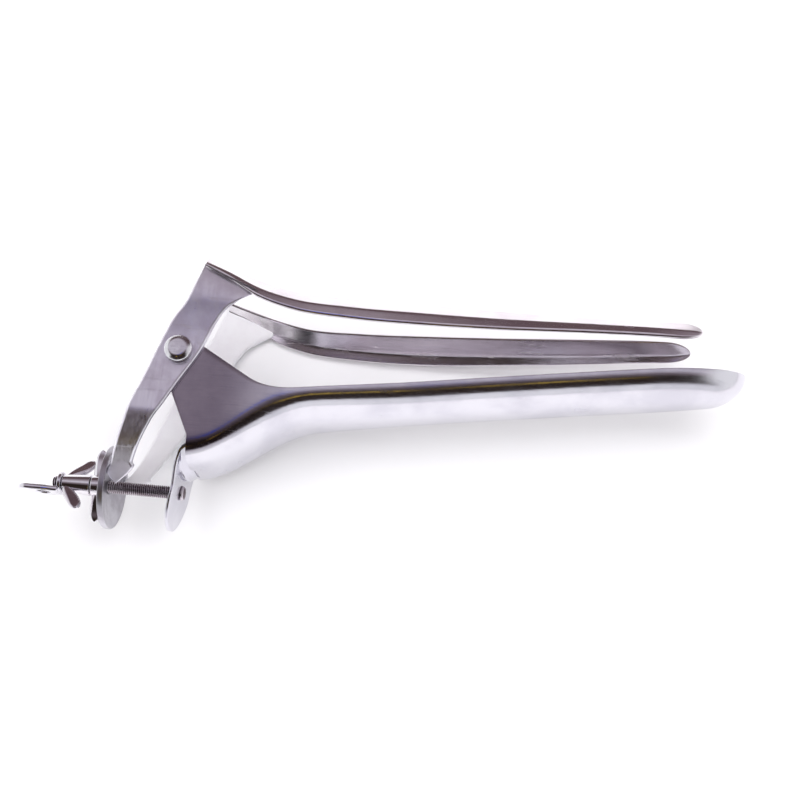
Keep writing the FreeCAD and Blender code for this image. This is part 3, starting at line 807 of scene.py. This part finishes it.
def flangeShell(values):
    s = 0.5 - 0.5 * np.cos(np.linspace(0, math.pi, values["rows"]))
    y = values["y"][0] + s * (values["y"][-1] - values["y"][0])
    x = smoothCurve(y, values["y"], values["x"])
    half = smoothCurve(y, values["y"], values["half"])
    centreY = values["y"][0] + values["endRadius"]
    circle = np.clip(values["endRadius"]**2 - (centreY - y)**2, values["leastSquare"], None)
    half = np.where(y < centreY, np.sqrt(circle), half)
    zero = np.zeros_like(y)
    centre = np.stack([x, y, zero], axis=1)
    up = np.stack([zero + 1, -np.gradient(x, y), zero], axis=1)
    up = up / np.linalg.norm(up, axis=1)[:, None]
    across = np.stack([zero, zero, half], axis=1)
    shell = stripShell(centre, across, up, zero + values["thickness"], zero)
    bow = values["bow"] * ease((y - values["bowFrom"]) / values["bowLength"])
    t = shell[..., 2] / half[:, None]
    shell[..., 1] -= bow[:, None] * (1 - t**2)
    return shell


buildPiece("lowerBladeSheet", [troughShell(trough), flangeShell(flangeStrip)], steels["lowerBladeSatin"],
           "base", "lower_blade")
print("lower blade made")

# pivot rivets: low flat-topped heads with a polished rim, shank and clenched tail
rivet = {"head": 5.3, "face": 27.1, "underHead": 24.1, "flat": 3.5, "bevel": 1.25, "shank": 2.5,
         "tail": 4.2, "tailTop": 19.7, "tailEnd": 18.4, "round": 0.6, "segments": 72}


# half of the rivet's section, as radius and height, turned about the pivot line
def rivetShell(values):
    corners = [(axisRadius, values["face"]), (values["flat"], values["face"]),
               (values["head"], values["face"] - values["bevel"]),
               (values["head"], values["underHead"]), (values["shank"], values["underHead"]),
               (values["shank"], values["tailTop"]), (values["tail"], values["tailTop"]),
               (values["tail"], values["tailEnd"]), (axisRadius, values["tailEnd"])]
    profile = roundProfile(corners, values["round"])
    angle = np.linspace(0, 2 * math.pi, values["segments"], endpoint=False)
    return np.stack([profile[:, :1] * np.cos(angle), profile[:, :1] * np.sin(angle),
                     np.repeat(profile[:, 1:], len(angle), axis=1)], axis=-1)


for side, sign in sides:
    shell = rivetShell(rivet) if sign > 0 else mirrorShell(rivetShell(rivet))
    buildPiece(side + "RivetTurned", [shell], steels["rivetPolish"], "base", side + "_pivot_rivet", 30.0)

# lift screw: a helical groove, and the riveted head in front of the flange
screw = {"from": -46.4, "to": 2.3, "radius": 2.5, "depth": 0.42, "pitch": 0.8,
         "rowsPerPitch": 7, "segments": 28, "fadeLength": 0.8, "startDrop": 0.5,
         "headFrom": 2.1, "headX": 3.75, "headSide": 4.8, "headEnd": 5.2, "neck": 2.0, "head": 3.1,
         "sideShare": 0.8, "endShare": 0.35, "round": 0.5, "headSegments": 48}


# the radius follows a cosine of the turns counted along the screw and round it
def threadShell(values):
    rows = int((values["to"] - values["from"]) / values["pitch"] * values["rowsPerPitch"])
    x = np.linspace(values["from"], values["to"], rows)[:, None]
    angle = np.linspace(0, 2 * math.pi, values["segments"], endpoint=False)[None, :]
    phase = 2 * math.pi * x / values["pitch"] - angle
    fade = np.clip((x - values["from"]) / values["fadeLength"], 0.0, 1.0)
    groove = values["depth"] * (0.5 - 0.5 * np.cos(phase))
    radius = values["radius"] - groove - values["startDrop"] * (1 - fade)
    return np.stack([np.repeat(x, angle.shape[1], axis=1), screwY + radius * np.cos(angle),
                     radius * np.sin(angle)], axis=-1)


def headShell(values):
    corners = [(values["headFrom"], axisRadius), (values["headFrom"], values["neck"]),
               (values["headX"], values["neck"]), (values["headX"], values["head"]),
               (values["headSide"], values["sideShare"] * values["head"]),
               (values["headEnd"], values["endShare"] * values["head"]), (values["headEnd"], axisRadius)]
    return turnedShell(roundProfile(corners, values["round"]), values["headSegments"])


buildPiece("liftScrewThread", [threadShell(screw), headShell(screw)], steels["screwThread"], "base",
           "lift_screw", 55.0)
print("rivets and screw made")

# thrust disc: dished plate whose rim is a flat band with rounded edges
disc = {"centreX": -24.6, "bore": 2.8, "radius": 16.0, "dish": 2.4, "thickness": 2.3, "round": 0.45,
        "square": 0.35, "faceSteps": 26, "rimSteps": 9, "segments": 144}


# a profile that goes round and ends on its own first row again
def closeRing(grid):
    return np.concatenate([grid, grid[:1]], axis=0)


def discShell(values):
    r = np.linspace(values["bore"], values["radius"], values["faceSteps"])
    share = (r - values["bore"]) / (values["radius"] - values["bore"])
    front = np.stack([values["centreX"] + values["dish"] * share, r], axis=1)
    back = front[::-1] - (values["thickness"], 0)
    turn = np.linspace(0, math.pi, values["rimSteps"])[1:-1]
    half = values["thickness"] / 2
    rimX = front[-1, 0] - half + half * np.sign(np.cos(turn)) * np.abs(np.cos(turn))**values["square"]
    bulge = values["round"] * np.abs(np.sin(turn))**values["square"]
    front[-1, 1] -= values["round"]
    back[0, 1] -= values["round"]
    rim = np.stack([rimX, values["radius"] - values["round"] + bulge], axis=1)
    return closeRing(turnedShell(np.concatenate([front, rim, back]), values["segments"]))


buildPiece("thrustDiscPressed", [discShell(disc)], steels["discRinged"], "disc", "thrust_disc", 50.0)

# wing nuts: a turned hub and two forged wings, thick at the root and round at the tip
liftNut = {"left": -31.2, "right": -27.05, "leftRadius": 4.0, "rightRadius": 4.3,
           "rootX": -29.1, "sweep": 0.5, "reach": 13.9, "width": 4.5, "rootThick": 3.4, "tipThick": 1.9,
           "turn": 8.0}
lockNut = {"left": -42.6, "right": -31.5, "leftRadius": 3.2, "rightRadius": 4.1,
           "rootX": -40.6, "sweep": 6.2, "reach": 12.9, "width": 4.9, "rootThick": 3.2, "tipThick": 1.8,
           "turn": -32.0}
nutForm = {"bore": 2.56, "round": 0.5, "segments": 72, "wingRows": 44, "wingStart": 0.5,
           "sweepPower": 1.3, "thinFaster": 1.3, "rootWidth": 0.82, "tipFrom": 0.72, "tipClose": 0.003,
           "tipThickness": 0.6}


def hubShell(values, form):
    corners = [(values["left"], form["bore"]), (values["left"], values["leftRadius"]),
               (values["right"], values["rightRadius"]), (values["right"], form["bore"])]
    return closeRing(turnedShell(roundProfile(corners, form["round"]), form["segments"]))


# a wing is a strip out from the hub, swept along the screw by a power of a sine, turned about the screw
def wingShell(values, form, flip):
    s = np.linspace(0, 1, form["wingRows"])
    inner = form["bore"] + form["wingStart"]
    out = inner + s * (values["reach"] - inner)
    x = values["rootX"] + values["sweep"] * np.sin(s * math.pi / 2)**form["sweepPower"]
    middleShare = form["rootWidth"] + (1 - form["rootWidth"]) * np.sin(math.pi * s)
    # the tip closes as a half ellipse
    near = np.clip((s - form["tipFrom"]) / (1 - form["tipFrom"]), 0, 1)
    close = np.sqrt(np.clip(1 - near**2, form["tipClose"], 1))
    half = values["width"] / 2 * middleShare * close
    lean = np.arctan(np.gradient(x, out))
    thick = values["rootThick"] + (values["tipThick"] - values["rootThick"]) * ease(s * form["thinFaster"])
    thick = thick * (form["tipThickness"] + (1 - form["tipThickness"]) * close)
    centre = np.stack([x, out, 0 * s], axis=1)
    across = np.stack([np.cos(lean), -np.sin(lean), 0 * s], axis=1) * half[:, None]
    up = np.broadcast_to(np.array([0, 0, 1.0]), centre.shape)
    shell = stripShell(centre, across, up, thick, 0 * s)
    angle = math.radians(values["turn"] + (180 if flip else 0))
    y = shell[..., 1] * math.cos(angle) - shell[..., 2] * math.sin(angle)
    z = shell[..., 1] * math.sin(angle) + shell[..., 2] * math.cos(angle)
    return np.stack([shell[..., 0], screwY + y, z], axis=-1)


for name, values, body, node in (("liftNutForged", liftNut, "lift_wing", "lift_nut"),
                                 ("lockNutForged", lockNut, "lock_wing", "lock_nut")):
    wings = [wingShell(values, nutForm, flip) for flip in (False, True)]
    buildPiece(name, [hubShell(values, nutForm), *wings], steels["nutChrome"], body, node, 50.0)
print("disc and wing nuts made")

# end tab: a ring on the screw's end and a flat paddle with an eye
tab = {"ringLeft": -44.1, "ringRight": -42.75, "ring": 4.2, "bore": 2.5, "rootX": -43.4, "endX": -59.85,
       "width": 9.4, "top": -52.3, "thickness": 2.0, "eyeX": -49.8, "eye": 2.6,
       "taper": 0.14, "edgeRound": 0.6, "eyeRound": 0.25, "round": 0.4,
       "segments": 96, "ringSegments": 64, "edgeSteps": 8, "faceShares": (0.15, 0.85), "faceSteps": 4,
       "least": 1e-6, "far": 1e6}


# the paddle as rings round its eye, from the eye's edge out to the paddle's rounded outline and back
def paddleShell(values):
    angle = np.linspace(0, 2 * math.pi, values["segments"], endpoint=False)
    c = np.cos(angle)
    s = np.sin(angle)
    half = values["width"] / 2
    endCentre = values["endX"] + half
    # distance from the eye's middle to the sides, the root and the round far end of the paddle
    toSide = half * (1 - values["taper"] * np.clip(c, 0, 1)) / np.maximum(np.abs(s), values["least"])
    toRoot = (values["rootX"] - values["eyeX"]) / np.maximum(c, values["least"])
    shift = values["eyeX"] - endCentre
    toEnd = -c * shift + np.sqrt(np.maximum(half**2 - (s * shift)**2, 0.0))
    straight = np.minimum(toSide, np.where(c > 0, toRoot, values["far"]))
    outline = np.where(values["eyeX"] + straight * c < endCentre, toEnd, straight)
    outline = np.where((c < 0) & (values["eyeX"] + toSide * c < endCentre), toEnd, outline)
    bend = np.linspace(0, math.pi, values["edgeSteps"])
    down = -values["thickness"] * (1 - np.cos(bend)) / 2
    face = [values["eye"] + (outline - values["eye"]) * share
            for share in np.linspace(*values["faceShares"], values["faceSteps"])]
    edge = [outline - values["edgeRound"] * (1 - math.sin(b)) for b in bend]
    eye = [values["eye"] + values["eyeRound"] * (1 - math.sin(b)) + 0 * c for b in bend]
    # over the top face, down the outer edge, back over the lower face and up the eye's edge
    rings = [(r, 0.0) for r in face] + list(zip(edge, down))
    rings += [(r, -values["thickness"]) for r in face[::-1]] + list(zip(eye[::-1], down[::-1]))
    return closeRing(np.stack([
        np.stack([values["eyeX"] + r * c, values["top"] + h + 0 * c, r * s], axis=1) for r, h in rings]))


def tabRingShell(values):
    corners = [(values["ringLeft"], values["bore"]), (values["ringLeft"], values["ring"]),
               (values["ringRight"], values["ring"]), (values["ringRight"], values["bore"])]
    return closeRing(turnedShell(roundProfile(corners, values["round"]), values["ringSegments"]))


buildPiece("endTabForged", [tabRingShell(tab), paddleShell(tab)], steels["tabPolish"], "base", "end_tab",
           50.0)
print("end tab made")

# the plain solids underneath get the same steels
plainSteels = {
    "lowerBladeSatin": ("lower_blade",), "upperBladePolish": ("right_blade", "left_blade"),
    "armBrushed": ("right_arm", "left_arm"), "rivetPolish": ("right_pivot_rivet", "left_pivot_rivet"),
    "screwThread": ("lift_screw",), "discRinged": ("thrust_disc",), "nutChrome": ("lift_nut", "lock_nut"),
    "tabPolish": ("end_tab",),
}
for steel, names in plainSteels.items():
    for name in names:
        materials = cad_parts[name].data.materials
        materials.clear()
        materials.append(steels[steel])
